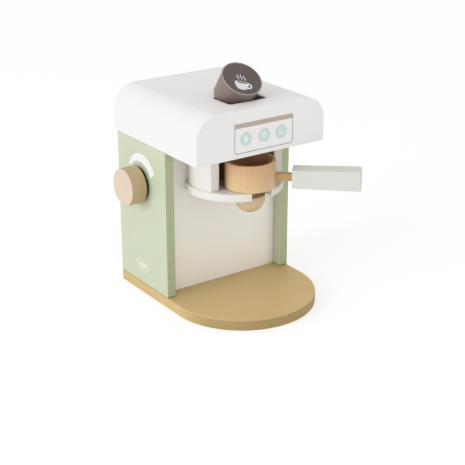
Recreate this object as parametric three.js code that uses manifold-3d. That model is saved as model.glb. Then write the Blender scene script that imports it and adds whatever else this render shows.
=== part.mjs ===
// A wooden toy coffee maker: boards, turned pieces and fasteners, each a separate solid.
// Millimetres, +Z up, -Y to the front. The origin is the middle of the base plate's underside.

import * as THREE from 'three';
import { mergeVertices } from 'three/addons/utils/BufferGeometryUtils.js';
import Module from 'manifold-3d';

const wasm = await Module();
wasm.setup();

// Clearances
const glueGap = 0.3; // round a glued piece in its hole
const runningGap = 0.3; // round a piece that turns, slides or lifts out
const cutOverrun = 1; // a cutting tool runs this far past the face that it opens

// Facets round a full turn
const boardFacets = 64;
const turnedFacets = 36;
const smallFacets = 16;
const edgeSteps = 2;

// Base plate: straight sides, and a half circle at the front
const bodyWidth = 150;
const baseDepth = 186;
const baseThickness = 11;

// Side, front and back panels, which stand on the base plate
const sideThickness = 10;
const sideDepth = 90;
const sideHeight = 152;
const frontRecess = 12; // from the side panels' front edges back to the front panel's face
const frontPanelThickness = 8;
const backPanelThickness = 6;
const backPanelInset = 2;

// Head: two rounded plates, a floor and a bent shell between them
const headDepth = 149;
const headHeight = 46.5;
const headBackOverhang = 4.7;
const headCornerRadius = 24;
const headPlateThickness = 10;
const headFloorThickness = 10;
const headShellThickness = 6;

// Capsule, which leans in its slot
const capsuleRadius = 20.5;
const capsuleFootRadius = 19.4;
const capsuleHeight = 26.6;
const capsuleRimHeight = 1.6;
const capsuleRimStep = 0.5;
const capsuleFootEdge = 0.8;
const capsuleLidInset = 1.2; // the rim's width round the lid
const capsuleLidThickness = 1;
const capsuleTiltDegrees = 36.7; // its axis leans to the front by this angle

// Slot in the head's top, and the pocket under it
const slotSideGap = 1;
const slotPlay = 2.9; // the slot is this much deeper than the capsule is high
const slotSetback = 22.3; // from the head's front face to the slot
const pocketWallThickness = 5;

// Brew collar and tray, which carry the filter holder
const collarHeight = 37.4;
const collarReach = 42; // from the front panel's face to the collar's front
const collarBoreGap = 7.8; // round the filter cup
const trayThickness = 8;
const trayRadius = 49;
const trayReach = 68.7; // from the front panel's face to the tray's front
const collarInset = 2; // the collar's round side is this much smaller than the tray's

// Filter holder: cup, neck and half ball on one upright axis
const filterReach = 46.7; // from the front panel's face to the holder's axis
const cupRadius = 25.2;
const cupHeight = 27;
const cupWall = 3.4;
const cupFloor = 6;
const cupEdge = 0.7;
const bowlFillet = 3;
const neckRadius = 6.5;
const neckCover = 2; // wood left between the neck and the bowl
const neckSeat = 8; // the neck's depth in the half ball
const traySlotGap = 5; // on each side of the neck
const spoutRadius = 15.3;
const spoutCap = 3.1; // from the ball's centre up to its flat top

// Handle: a square rod with a grip on it
const handleDegrees = 41; // from +X towards the front
const rodWidth = 7.3;
const rodLift = 10.1; // from the cup's underside to the rod's centre
const gripStart = 40.9; // from the holder's axis
const gripLength = 67;
const gripWidth = 19.5;
const gripNearHeight = 18.4;
const gripFarHeight = 20.2;
const gripCornerRadius = 2.4;
const gripEdge = 1.5;
const gripSeat = 18; // the rod's depth in the grip

// Knob on the left side panel, with its washer, axle and retaining ring
const knobRadius = 19;
const knobThickness = 17;
const knobEdge = 1.2;
const knobSetback = 47; // from the side panels' front edges to the axle
const knobLift = 108.2; // from the base plate's top to the axle
const washerRadius = 16.8;
const washerThickness = 2.7;
const axleRadius = 4;
const axleCover = 5; // wood left between the axle and the knob's face
const axleTail = 1.5;
const retainerRadius = 9;
const retainerThickness = 5;

// Countersunk wood screws
const screwHeadRadius = 4;
const screwHeadRim = 0.4;
const screwHeadHeight = 2.6;
const screwShankRadius = 1.9;
const screwPoint = 4;
const screwRecess = 0.5; // the head lies this deep
const baseScrewLength = 35;
const baseScrewInset = 15; // from the side panels' edges
const collarScrewLength = 25;
const collarScrewInset = 15; // from the collar's round side
const collarScrewRise = 18.4; // from the tray's top

// Wooden dowels
const dowelRadius = 3;
const dowelCover = 2.5; // wood left past a dowel's end in a thin board
const headDowelDrop = 12; // into the side panel
const headDowelInset = 15; // from the side panels' edges
const trayDowelRise = 8; // into the collar
const trayDowelInset = 13; // from the collar's round side

// Places worked out from the sizes above
const halfWidth = bodyWidth / 2;
const baseFront = -baseDepth / 2;
const baseBack = baseDepth / 2;
const sideFront = baseBack - sideDepth;
const sideTop = baseThickness + sideHeight;
const innerHalfWidth = halfWidth - sideThickness;
const sideMiddle = halfWidth - sideThickness / 2;
const panelFace = sideFront + frontRecess;
const panelBack = panelFace + frontPanelThickness;
const headBack = baseBack + headBackOverhang;
const headFront = headBack - headDepth;
const headTop = sideTop + headHeight;
const headFloorTop = sideTop + headFloorThickness;
const frontPlateBack = headFront + headPlateThickness;
const backPlateFront = headBack - headPlateThickness;
const shellUnderside = headTop - headShellThickness;
const slotHalfWidth = capsuleRadius + slotSideGap;
const slotFront = headFront + slotSetback;
const slotBack = slotFront + capsuleHeight + slotPlay;
const trayTop = sideTop - collarHeight;
const trayBottom = trayTop - trayThickness;
const trayCentre = panelFace - trayReach + trayRadius;
const trayBackAngle = Math.asin((panelFace - trayCentre) / trayRadius);
const collarRadius = trayRadius - collarInset;
const collarCentre = panelFace - trayReach + collarRadius;
const collarBackAngle = Math.asin((panelFace - collarCentre) / collarRadius);
const collarScrewSide = collarRadius - collarScrewInset;
const trayDowelSide = collarRadius - trayDowelInset;
const filterAxis = panelFace - filterReach;
const collarFront = panelFace - collarReach;
const collarBore = cupRadius + collarBoreGap;
const cupBottom = trayTop + runningGap;
const axleLift = baseThickness + knobLift;
const axleSetback = sideFront + knobSetback;
const collarScrewLift = trayTop + collarScrewRise;

// Colours and finishes
const warmWhite = finish(0xf4f3f0, 0.5);
const panelWhite = finish(0xe6dfd6, 0.55);
const sageGreen = finish(0xc5d3ac, 0.5);
const mustard = finish(0xd3b26e, 0.5);
const greyPaint = finish(0xd6d7cf, 0.5);
const beech = finish(0xd8b083, 0.6);
const birch = finish(0xe3cdaa, 0.65);
const capsulePaint = finish(0x8b766a, 0.45);
const capsulePrint = finish(0x5b4a47, 0.45);
const blackRubber = finish(0x2a2724, 0.85);
const zincSteel = finish(0xb9bcc0, 0.35, 1);

function finish(color, roughness, metalness = 0) {
  return new THREE.MeshStandardMaterial({ color, roughness, metalness });
}

// Solids: joining, cutting and naming

function toManifold(geometry) {
  const bare = geometry.clone();
  bare.deleteAttribute('normal');
  bare.deleteAttribute('uv');
  const merged = mergeVertices(bare);
  return new wasm.Manifold(new wasm.Mesh({
    numProp: 3,
    vertProperties: new Float32Array(merged.attributes.position.array),
    triVerts: new Uint32Array(merged.index.array),
  }));
}

function cut(geometry, tools = []) {
  let body = toManifold(geometry);
  for (const tool of tools) {
    body = body.subtract(toManifold(tool));
  }
  const mesh = body.getMesh();
  const result = new THREE.BufferGeometry();
  result.setAttribute('position', new THREE.BufferAttribute(mesh.vertProperties, 3));
  result.setIndex(new THREE.BufferAttribute(mesh.triVerts, 1));
  return result;
}

function piece(name, geometry, material) {
  const mesh = new THREE.Mesh(geometry, material);
  mesh.name = name;
  return mesh;
}

// A block between two planes along each axis
function board([left, right], [front, back], [bottom, top]) {
  const geometry = new THREE.BoxGeometry(right - left, back - front, top - bottom);
  return geometry.translate((left + right) / 2, (front + back) / 2, (bottom + top) / 2);
}

// A solid of revolution about Z, from [radius, height] points that start and end on the axis
function turned(points, facets) {
  const profile = points.map(([radius, height]) => new THREE.Vector2(radius, height));
  return new THREE.LatheGeometry(profile, facets).rotateX(Math.PI / 2);
}

function cylinder(radius, bottom, top, facets) {
  return turned([[0, bottom], [radius, bottom], [radius, top], [0, top]], facets);
}

function upright(shape, bottom, top) {
  const options = { depth: top - bottom, bevelEnabled: false, curveSegments: boardFacets / 2 };
  return new THREE.ExtrudeGeometry(shape, options).translate(0, 0, bottom);
}

// An outline in X and Z, carried along Y
function acrossDepth(shape, front, back) {
  const options = { depth: back - front, bevelEnabled: false, curveSegments: boardFacets / 4 };
  return new THREE.ExtrudeGeometry(shape, options).rotateX(Math.PI / 2).translate(0, back, 0);
}

// A quarter circle of profile points, from one angle to another
function fillet(centreRadius, centreHeight, radius, startAngle, endAngle) {
  const points = [];
  for (let step = 0; step <= edgeSteps; step += 1) {
    const angle = startAngle + (endAngle - startAngle) * step / edgeSteps;
    points.push([centreRadius + radius * Math.cos(angle), centreHeight + radius * Math.sin(angle)]);
  }
  return points;
}

// Fasteners, pointing along +Z from the face that their head or end lies under

function screwProfile(length, gap, overrun) {
  return [
    [0, -overrun],
    [screwHeadRadius + gap, -overrun],
    [screwHeadRadius + gap, screwHeadRim],
    [screwShankRadius + gap, screwHeadHeight + gap],
    [screwShankRadius + gap, length - screwPoint + gap],
    [0, length + gap],
  ];
}

function screw(length) {
  return turned(screwProfile(length, 0, 0), smallFacets).translate(0, 0, screwRecess);
}

function screwHole(length) {
  const profile = screwProfile(length, glueGap, screwRecess + cutOverrun);
  return turned(profile, smallFacets).translate(0, 0, screwRecess);
}

function dowelHole(drop, rise) {
  return cylinder(dowelRadius + glueGap, -drop - glueGap, rise + glueGap, smallFacets);
}

// Base plate and the four screws that come up through it

function baseOutline() {
  const shape = new THREE.Shape();
  const arcCentre = baseFront + halfWidth;
  shape.moveTo(-halfWidth, baseBack);
  shape.lineTo(-halfWidth, arcCentre);
  shape.absarc(0, arcCentre, halfWidth, Math.PI, 2 * Math.PI, false);
  shape.lineTo(halfWidth, baseBack);
  shape.closePath();
  return shape;
}

const baseScrewPlaces = [
  ['front_left_base_screw', -sideMiddle, sideFront + baseScrewInset],
  ['front_right_base_screw', sideMiddle, sideFront + baseScrewInset],
  ['rear_left_base_screw', -sideMiddle, baseBack - baseScrewInset],
  ['rear_right_base_screw', sideMiddle, baseBack - baseScrewInset],
];

function baseScrewHoles() {
  return baseScrewPlaces.map(([, x, y]) => screwHole(baseScrewLength).translate(x, y, 0));
}

function basePlate() {
  const plate = cut(upright(baseOutline(), 0, baseThickness), baseScrewHoles());
  return piece('base_plate', plate, mustard);
}

function baseScrews() {
  return baseScrewPlaces.map(([name, x, y]) => {
    const body = piece(name, cut(screw(baseScrewLength)), zincSteel);
    body.position.set(x, y, 0);
    return body;
  });
}

// Side panels, with the dowels that hold the head on them

const headDowelPlaces = [
  ['front_left_head_dowel', -sideMiddle, sideFront + headDowelInset],
  ['front_right_head_dowel', sideMiddle, sideFront + headDowelInset],
  ['rear_left_head_dowel', -sideMiddle, baseBack - headDowelInset],
  ['rear_right_head_dowel', sideMiddle, baseBack - headDowelInset],
];
const headDowelRise = headFloorThickness - dowelCover;

function headDowelHoles() {
  return headDowelPlaces.map(([, x, y]) => dowelHole(headDowelDrop, headDowelRise).translate(x, y, sideTop));
}

function headDowels() {
  return headDowelPlaces.map(([name, x, y]) => {
    const body = piece(name, cut(cylinder(dowelRadius, -headDowelDrop, headDowelRise, smallFacets)), birch);
    body.position.set(x, y, sideTop);
    return body;
  });
}

function sidePanel(name, left, right, extraTools) {
  const panel = board([left, right], [sideFront, baseBack], [baseThickness, sideTop]);
  return piece(name, cut(panel, [...baseScrewHoles(), ...headDowelHoles(), ...extraTools]), sageGreen);
}

function sidePanels() {
  const axleHole = cylinder(axleRadius + runningGap, -sideThickness - cutOverrun, cutOverrun, smallFacets);
  axleHole.rotateY(-Math.PI / 2).translate(-halfWidth, axleSetback, axleLift);
  return [
    sidePanel('left_side_panel', -halfWidth, -innerHalfWidth, [axleHole]),
    sidePanel('right_side_panel', innerHalfWidth, halfWidth, []),
  ];
}

// Front and back panels, and the two screws that hold the collar to the front panel

const collarScrewPlaces = [
  ['left_collar_screw', -collarScrewSide],
  ['right_collar_screw', collarScrewSide],
];

function collarScrewHoles() {
  return collarScrewPlaces.map(([, x]) => {
    return screwHole(collarScrewLength).rotateX(Math.PI / 2).translate(x, panelBack, collarScrewLift);
  });
}

function collarScrews() {
  return collarScrewPlaces.map(([name, x]) => {
    const body = piece(name, cut(screw(collarScrewLength)), zincSteel);
    body.position.set(x, panelBack, collarScrewLift);
    body.rotation.x = Math.PI / 2;
    return body;
  });
}

function frontPanel() {
  const across = [-innerHalfWidth, innerHalfWidth];
  const panel = board(across, [panelFace, panelBack], [baseThickness, sideTop]);
  return piece('front_panel', cut(panel, collarScrewHoles()), panelWhite);
}

function backPanel() {
  const across = [-innerHalfWidth, innerHalfWidth];
  const face = baseBack - backPanelInset;
  const panel = board(across, [face - backPanelThickness, face], [baseThickness, sideTop]);
  return piece('back_panel', cut(panel), panelWhite);
}

// Head

function headPlateOutline() {
  const shape = new THREE.Shape();
  const arcLevel = headTop - headCornerRadius;
  const arcSide = halfWidth - headCornerRadius;
  shape.moveTo(-halfWidth, sideTop);
  shape.lineTo(halfWidth, sideTop);
  shape.lineTo(halfWidth, arcLevel);
  shape.absarc(arcSide, arcLevel, headCornerRadius, 0, Math.PI / 2, false);
  shape.lineTo(-arcSide, headTop);
  shape.absarc(-arcSide, arcLevel, headCornerRadius, Math.PI / 2, Math.PI, false);
  shape.closePath();
  return shape;
}

function headShellOutline() {
  const shape = new THREE.Shape();
  const arcLevel = headTop - headCornerRadius;
  const arcSide = halfWidth - headCornerRadius;
  const innerRadius = headCornerRadius - headShellThickness;
  const innerSide = halfWidth - headShellThickness;
  shape.moveTo(halfWidth, headFloorTop);
  shape.lineTo(halfWidth, arcLevel);
  shape.absarc(arcSide, arcLevel, headCornerRadius, 0, Math.PI / 2, false);
  shape.lineTo(-arcSide, headTop);
  shape.absarc(-arcSide, arcLevel, headCornerRadius, Math.PI / 2, Math.PI, false);
  shape.lineTo(-halfWidth, headFloorTop);
  shape.lineTo(-innerSide, headFloorTop);
  shape.lineTo(-innerSide, arcLevel);
  shape.absarc(-arcSide, arcLevel, innerRadius, Math.PI, Math.PI / 2, true);
  shape.lineTo(arcSide, shellUnderside);
  shape.absarc(arcSide, arcLevel, innerRadius, Math.PI / 2, 0, true);
  shape.lineTo(innerSide, headFloorTop);
  shape.closePath();
  return shape;
}

function headPlates() {
  const frontPlate = acrossDepth(headPlateOutline(), headFront, frontPlateBack);
  const backPlate = acrossDepth(headPlateOutline(), backPlateFront, headBack);
  return [
    piece('head_front_plate', cut(frontPlate), warmWhite),
    piece('head_back_plate', cut(backPlate), warmWhite),
  ];
}

function headFloor() {
  const floor = board([-halfWidth, halfWidth], [frontPlateBack, backPlateFront], [sideTop, headFloorTop]);
  return piece('head_floor', cut(floor, headDowelHoles()), warmWhite);
}

function headShell() {
  const shell = acrossDepth(headShellOutline(), frontPlateBack, backPlateFront);
  const height = [shellUnderside - cutOverrun, headTop + cutOverrun];
  const slot = board([-slotHalfWidth, slotHalfWidth], [slotFront, slotBack], height);
  return piece('head_top_shell', cut(shell, [slot]), warmWhite);
}

function pocketWalls() {
  const height = [headFloorTop, shellUnderside];
  const outerHalfWidth = slotHalfWidth + pocketWallThickness;
  const walls = [
    ['pocket_front_wall', [-outerHalfWidth, outerHalfWidth], [slotFront - pocketWallThickness, slotFront]],
    ['pocket_back_wall', [-outerHalfWidth, outerHalfWidth], [slotBack, slotBack + pocketWallThickness]],
    ['pocket_left_wall', [-outerHalfWidth, -slotHalfWidth], [slotFront, slotBack]],
    ['pocket_right_wall', [slotHalfWidth, outerHalfWidth], [slotFront, slotBack]],
  ];
  return walls.map(([name, across, along]) => piece(name, cut(board(across, along, height)), birch));
}

// Brew tray and collar

const trayDowelPlaces = [
  ['left_tray_dowel', -trayDowelSide],
  ['right_tray_dowel', trayDowelSide],
];
const trayDowelDrop = trayThickness - dowelCover;

function trayDowelHoles() {
  return trayDowelPlaces.map(([, x]) => dowelHole(trayDowelDrop, trayDowelRise).translate(x, collarCentre, trayTop));
}

function trayDowels() {
  return trayDowelPlaces.map(([name, x]) => {
    const body = piece(name, cut(cylinder(dowelRadius, -trayDowelDrop, trayDowelRise, smallFacets)), birch);
    body.position.set(x, collarCentre, trayTop);
    return body;
  });
}

function trayOutline() {
  const shape = new THREE.Shape();
  const backHalfWidth = trayRadius * Math.cos(trayBackAngle);
  const slotRadius = neckRadius + traySlotGap;
  const slotAngle = Math.asin(slotRadius / trayRadius);
  const frontAngle = 1.5 * Math.PI;
  shape.moveTo(backHalfWidth, panelFace);
  shape.lineTo(-backHalfWidth, panelFace);
  shape.absarc(0, trayCentre, trayRadius, Math.PI - trayBackAngle, frontAngle - slotAngle, false);
  shape.lineTo(-slotRadius, filterAxis);
  shape.absarc(0, filterAxis, slotRadius, Math.PI, 0, true);
  shape.absarc(0, trayCentre, trayRadius, frontAngle + slotAngle, 2 * Math.PI + trayBackAngle, false);
  shape.closePath();
  return shape;
}

function collarOutline() {
  const shape = new THREE.Shape();
  const backHalfWidth = collarRadius * Math.cos(collarBackAngle);
  const frontAngle = Math.asin((collarCentre - collarFront) / collarRadius);
  const boreAngle = Math.asin((collarFront - filterAxis) / collarBore);
  shape.moveTo(backHalfWidth, panelFace);
  shape.lineTo(-backHalfWidth, panelFace);
  shape.absarc(0, collarCentre, collarRadius, Math.PI - collarBackAngle, Math.PI + frontAngle, false);
  shape.absarc(0, filterAxis, collarBore, Math.PI - boreAngle, boreAngle, true);
  shape.absarc(0, collarCentre, collarRadius, 2 * Math.PI - frontAngle, 2 * Math.PI + collarBackAngle, false);
  shape.closePath();
  return shape;
}

function brewTray() {
  return piece('brew_tray', cut(upright(trayOutline(), trayBottom, trayTop), trayDowelHoles()), warmWhite);
}

function brewCollar() {
  const collar = upright(collarOutline(), trayTop, sideTop);
  return piece('brew_collar', cut(collar, [...trayDowelHoles(), ...collarScrewHoles()]), warmWhite);
}

// Filter holder, about its own upright axis, with Z from the cup's underside

const spoutTop = trayBottom - runningGap - cupBottom;
const neckBottom = spoutTop - neckSeat;
const neckTop = cupFloor - neckCover;

function spoutBall() {
  const centre = spoutTop - spoutCap;
  const capAngle = Math.asin(spoutCap / spoutRadius);
  const steps = turnedFacets / 4;
  const points = [];
  for (let step = 0; step <= steps; step += 1) {
    const angle = -Math.PI / 2 + (Math.PI / 2 + capAngle) * step / steps;
    points.push([spoutRadius * Math.cos(angle), centre + spoutRadius * Math.sin(angle)]);
  }
  points[0][0] = 0;
  points.push([0, spoutTop]);
  const seat = cylinder(neckRadius + glueGap, neckBottom - glueGap, spoutTop + cutOverrun, turnedFacets);
  return piece('spout_ball', cut(turned(points, turnedFacets), [seat]), beech);
}

function spoutNeck() {
  return piece('spout_neck', cut(cylinder(neckRadius, neckBottom, neckTop, turnedFacets)), beech);
}

function filterCup() {
  const bowlRadius = cupRadius - cupWall;
  const profile = [
    [0, 0],
    ...fillet(cupRadius - cupEdge, cupEdge, cupEdge, -Math.PI / 2, 0),
    ...fillet(cupRadius - cupEdge, cupHeight - cupEdge, cupEdge, 0, Math.PI / 2),
    ...fillet(bowlRadius + cupEdge, cupHeight - cupEdge, cupEdge, Math.PI / 2, Math.PI),
    ...fillet(bowlRadius - bowlFillet, cupFloor + bowlFillet, bowlFillet, 0, -Math.PI / 2),
    [0, cupFloor],
  ];
  const hole = neckRadius + runningGap;
  const neckHole = cylinder(hole, -cutOverrun, neckTop + runningGap, turnedFacets);
  const mortiseHalf = rodWidth / 2 + glueGap;
  const across = [-mortiseHalf, mortiseHalf];
  const height = [rodLift - mortiseHalf, rodLift + mortiseHalf];
  const mortise = board([bowlRadius - bowlFillet, cupRadius + cutOverrun], across, height);
  return piece('filter_cup', cut(turned(profile, turnedFacets), [neckHole, mortise]), beech);
}

function handleRod() {
  const half = rodWidth / 2;
  const along = [cupRadius - cupWall + glueGap, gripStart + gripSeat];
  return piece('handle_rod', cut(board(along, [-half, half], [rodLift - half, rodLift + half])), beech);
}

function gripOutline() {
  const shape = new THREE.Shape();
  const end = gripStart + gripLength;
  const nearHalf = gripNearHeight / 2;
  const farHalf = gripFarHeight / 2;
  const arcEnd = end - gripCornerRadius;
  shape.moveTo(gripStart, rodLift - nearHalf);
  shape.lineTo(arcEnd, rodLift - farHalf);
  shape.absarc(arcEnd, rodLift - farHalf + gripCornerRadius, gripCornerRadius, -Math.PI / 2, 0, false);
  shape.absarc(arcEnd, rodLift + farHalf - gripCornerRadius, gripCornerRadius, 0, Math.PI / 2, false);
  shape.lineTo(gripStart, rodLift + nearHalf);
  shape.closePath();
  return shape;
}

function handleGrip() {
  const options = {
    depth: gripWidth - 2 * gripEdge,
    bevelThickness: gripEdge,
    bevelSize: gripEdge,
    bevelOffset: -gripEdge,
    bevelSegments: edgeSteps,
    curveSegments: edgeSteps,
  };
  const grip = new THREE.ExtrudeGeometry(gripOutline(), options);
  grip.translate(0, 0, gripEdge - gripWidth / 2).rotateX(Math.PI / 2);
  const seatHalf = rodWidth / 2 + glueGap;
  const along = [gripStart - cutOverrun, gripStart + gripSeat + glueGap];
  const seat = board(along, [-seatHalf, seatHalf], [rodLift - seatHalf, rodLift + seatHalf]);
  return piece('handle_grip', cut(grip, [seat]), greyPaint);
}

function filterHolder() {
  const holder = new THREE.Group();
  const handle = new THREE.Group();
  handle.rotation.z = -THREE.MathUtils.degToRad(handleDegrees);
  handle.add(filterCup(), handleRod(), handleGrip());
  holder.position.set(0, filterAxis, cupBottom);
  holder.add(spoutBall(), spoutNeck(), handle);
  return holder;
}

// Knob, about its own axis, with Z out from the side panel's face

const knobFoot = runningGap + washerThickness + glueGap;
const retainerFace = -sideThickness - runningGap;

function knobDisc() {
  const face = knobFoot + knobThickness;
  const profile = [
    [0, knobFoot],
    ...fillet(knobRadius - knobEdge, knobFoot + knobEdge, knobEdge, -Math.PI / 2, 0),
    ...fillet(knobRadius - knobEdge, face - knobEdge, knobEdge, 0, Math.PI / 2),
    [0, face],
  ];
  const seat = cylinder(axleRadius + glueGap, knobFoot - cutOverrun, face - axleCover + glueGap, smallFacets);
  return piece('knob_disc', cut(turned(profile, turnedFacets), [seat]), beech);
}

function ring(radius, bottom, top, facets) {
  const hole = cylinder(axleRadius + glueGap, bottom - cutOverrun, top + cutOverrun, smallFacets);
  return cut(cylinder(radius, bottom, top, facets), [hole]);
}

function knobAxle() {
  const tail = retainerFace - retainerThickness - axleTail;
  const end = knobFoot + knobThickness - axleCover;
  return piece('knob_axle', cut(cylinder(axleRadius, tail, end, smallFacets)), birch);
}

function knob() {
  const group = new THREE.Group();
  const washer = ring(washerRadius, runningGap, runningGap + washerThickness, turnedFacets);
  const retainer = ring(retainerRadius, retainerFace - retainerThickness, retainerFace, smallFacets);
  group.position.set(-halfWidth, axleSetback, axleLift);
  group.rotation.y = -Math.PI / 2;
  group.add(knobDisc(), knobAxle());
  group.add(piece('knob_washer', washer, blackRubber), piece('knob_retainer', retainer, birch));
  return group;
}

// Capsule, about its own axis, with Z from its foot

function capsuleBody() {
  const waist = capsuleRadius - capsuleRimStep;
  const rimBottom = capsuleHeight - capsuleRimHeight;
  const recess = capsuleRadius - capsuleLidInset;
  const recessFloor = capsuleHeight - capsuleLidThickness;
  const profile = [
    [0, 0],
    ...fillet(capsuleFootRadius - capsuleFootEdge, capsuleFootEdge, capsuleFootEdge, -Math.PI / 2, 0),
    [waist, rimBottom],
    [capsuleRadius, rimBottom],
    [capsuleRadius, capsuleHeight],
    [recess, capsuleHeight],
    [recess, recessFloor],
    [0, recessFloor],
  ];
  return piece('capsule_body', cut(turned(profile, turnedFacets)), capsulePaint);
}

function capsuleLid() {
  const radius = capsuleRadius - capsuleLidInset - glueGap;
  const bottom = capsuleHeight - capsuleLidThickness + glueGap;
  const lid = cylinder(radius, bottom, bottom + capsuleLidThickness, turnedFacets);
  return piece('capsule_lid', cut(lid), capsulePrint);
}

// The capsule's side leans on the slot's front edge, and its foot on the slot's back edge.
// along and across are distances from the origin, along the capsule's axis and square to it.
function capsule() {
  const tilt = THREE.MathUtils.degToRad(capsuleTiltDegrees);
  const axis = new THREE.Vector2(-Math.sin(tilt), Math.cos(tilt));
  const square = new THREE.Vector2(Math.cos(tilt), Math.sin(tilt));
  const frontEdge = new THREE.Vector2(slotFront, headTop);
  const backEdge = new THREE.Vector2(slotBack, headTop);
  const taper = capsuleRadius - capsuleFootRadius;
  const slant = Math.hypot(capsuleHeight, taper);
  const along = backEdge.dot(axis) + runningGap;
  const edgeRise = frontEdge.dot(axis) - along;
  const frontSide = frontEdge.dot(square) + runningGap * slant / capsuleHeight;
  const across = frontSide + taper * edgeRise / capsuleHeight + capsuleFootRadius;
  const foot = axis.multiplyScalar(along).add(square.multiplyScalar(across));
  const group = new THREE.Group();
  group.position.set(0, foot.x, foot.y);
  group.rotation.x = tilt;
  group.add(capsuleBody(), capsuleLid());
  return group;
}

const coffeeMaker = new THREE.Group();
coffeeMaker.add(basePlate(), ...baseScrews());
coffeeMaker.add(...sidePanels(), frontPanel(), backPanel());
coffeeMaker.add(...headPlates(), headFloor(), headShell(), ...pocketWalls(), ...headDowels());
coffeeMaker.add(brewTray(), brewCollar(), ...trayDowels(), ...collarScrews());
coffeeMaker.add(filterHolder(), knob(), capsule());

export default coffeeMaker;
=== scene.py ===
"""The looks of a wooden toy coffee maker: painted boards, turned beech, prints, and the studio."""

from math import acos, asin, atan2, copysign, cos, degrees, pi, radians, sin, tan, tau

import bmesh
import bpy
import numpy as np
from mathutils import Matrix, Vector


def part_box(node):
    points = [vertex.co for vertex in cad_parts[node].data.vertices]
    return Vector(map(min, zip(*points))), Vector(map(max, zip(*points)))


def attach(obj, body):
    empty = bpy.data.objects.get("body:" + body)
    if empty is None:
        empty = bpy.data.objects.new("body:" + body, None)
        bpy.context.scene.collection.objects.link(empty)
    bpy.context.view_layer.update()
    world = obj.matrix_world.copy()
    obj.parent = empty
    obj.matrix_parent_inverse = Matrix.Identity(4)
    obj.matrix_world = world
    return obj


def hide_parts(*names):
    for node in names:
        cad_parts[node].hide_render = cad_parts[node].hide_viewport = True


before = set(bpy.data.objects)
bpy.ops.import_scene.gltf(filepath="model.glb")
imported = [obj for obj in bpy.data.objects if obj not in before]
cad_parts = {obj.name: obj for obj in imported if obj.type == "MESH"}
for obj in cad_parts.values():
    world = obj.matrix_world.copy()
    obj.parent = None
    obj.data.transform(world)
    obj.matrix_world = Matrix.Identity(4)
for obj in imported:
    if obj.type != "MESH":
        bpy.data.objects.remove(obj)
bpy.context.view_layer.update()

MM = 0.001
MERGE = 0.001 * MM  # points this close are one
OVERRUN = 1.0 * MM  # how far a cutter reaches past what it cuts
INK = 0.05 * MM  # one layer of print

# How finely things are rounded
STEPS = 4  # round a small rounded edge
ARC_STEPS = 48  # along an arc of a board's outline
TURN_STEPS = 144  # round a turned piece
PEG_STEPS = 96
AXLE_HOLE_STEPS = 64
SCREW_HOLE_STEPS = 48
SCREW_STEPS = 40
SMOOTH_BELOW = radians(42)  # faces that meet at less than this are shaded as one
SAME_LINE = radians(20)  # an outline that turns less than this has no corner there

# Rounded edges
BOARD_EDGE = 0.9 * MM
HEAD_EDGE = 1.3 * MM
TRAY_EDGE = 1.0 * MM
FINE_EDGE = 0.5 * MM
SLOT_EDGE = 1.0 * MM
CUP_EDGE = 0.9 * MM
ROD_EDGE = 0.7 * MM
GRIP_EDGE = 2.4 * MM
BALL_EDGE = 0.6 * MM
KNOB_EDGE = 1.3 * MM
WASHER_EDGE = 0.4 * MM
SLOT_CORNER = 3.0 * MM
BASE_CORNER = 1.6 * MM
OPEN_SHARE = 1.05  # a corner is this much rounder than the board's edge, which can then follow it


# Outlines, as lists of (across, up) points that run anticlockwise

def arc(centre, radius, start, end, steps=ARC_STEPS):
    """Points round a centre, from one angle to another, in degrees."""
    angles = [radians(start + (end - start) * step / steps) for step in range(steps + 1)]
    return [(centre[0] + radius * cos(angle), centre[1] + radius * sin(angle)) for angle in angles]


def rectangle(left, right, low, high):
    return [(left, low), (right, low), (right, high), (left, high)]


def softened(points, radius):
    """The outline with each sharp corner rounded. Points along arcs, which turn little, stay."""
    result = []
    for index, here in enumerate(points):
        here = Vector(here)
        back = (Vector(points[index - 1]) - here).normalized()
        ahead = (Vector(points[(index + 1) % len(points)]) - here).normalized()
        between = back.angle(ahead)
        if pi - between < SAME_LINE:
            result.append(tuple(here))
            continue
        reach = radius / tan(between / 2)
        centre = here + (back + ahead).normalized() * radius / sin(between / 2)
        start = here + back * reach - centre
        turn = (pi - between) * (1 if ahead.cross(back) > 0 else -1)
        for step in range(STEPS + 1):
            point = centre + Matrix.Rotation(turn * step / STEPS, 2) @ start
            result.append(tuple(point))
    return result


def inset(points, amount):
    """The outline moved inwards by amount, square to its sides."""
    places = np.array(points)
    along = np.roll(places, -1, 0) - places
    along /= np.linalg.norm(along, axis=1)[:, None]
    inward = np.stack([-along[:, 1], along[:, 0]], 1)
    before = np.roll(inward, 1, 0)
    share = 1 + (before * inward).sum(1)
    return places + amount * (before + inward) / share[:, None]


# Meshes

def new_object(name, data):
    piece = bpy.data.objects.new(name, data)
    bpy.context.scene.collection.objects.link(piece)
    return piece


def surface(point, across, up, outwards):
    """The frame of a surface at a point: X across it, Y up it and Z outwards."""
    return Matrix.Translation(point) @ Matrix((across, up, outwards)).transposed().to_4x4()


def from_bmesh(name, shape):
    bmesh.ops.remove_doubles(shape, verts=shape.verts, dist=MERGE)
    bmesh.ops.recalc_face_normals(shape, faces=shape.faces)
    mesh = bpy.data.meshes.new(name)
    shape.to_mesh(mesh)
    shape.free()
    return new_object(name, mesh)


def rounding(low, high, low_edge, high_edge):
    """(height, inset) levels of a slab whose two rims are rounded."""
    turns = [pi / 2 * step / STEPS for step in range(STEPS + 1)]
    lower = [(low + low_edge * (1 - cos(turn)), low_edge * (1 - sin(turn))) for turn in turns]
    upper = [(high - high_edge * (1 - sin(turn)), high_edge * (1 - cos(turn))) for turn in turns]
    return (lower if low_edge else [(low, 0)]) + (upper if high_edge else [(high, 0)])


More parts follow.
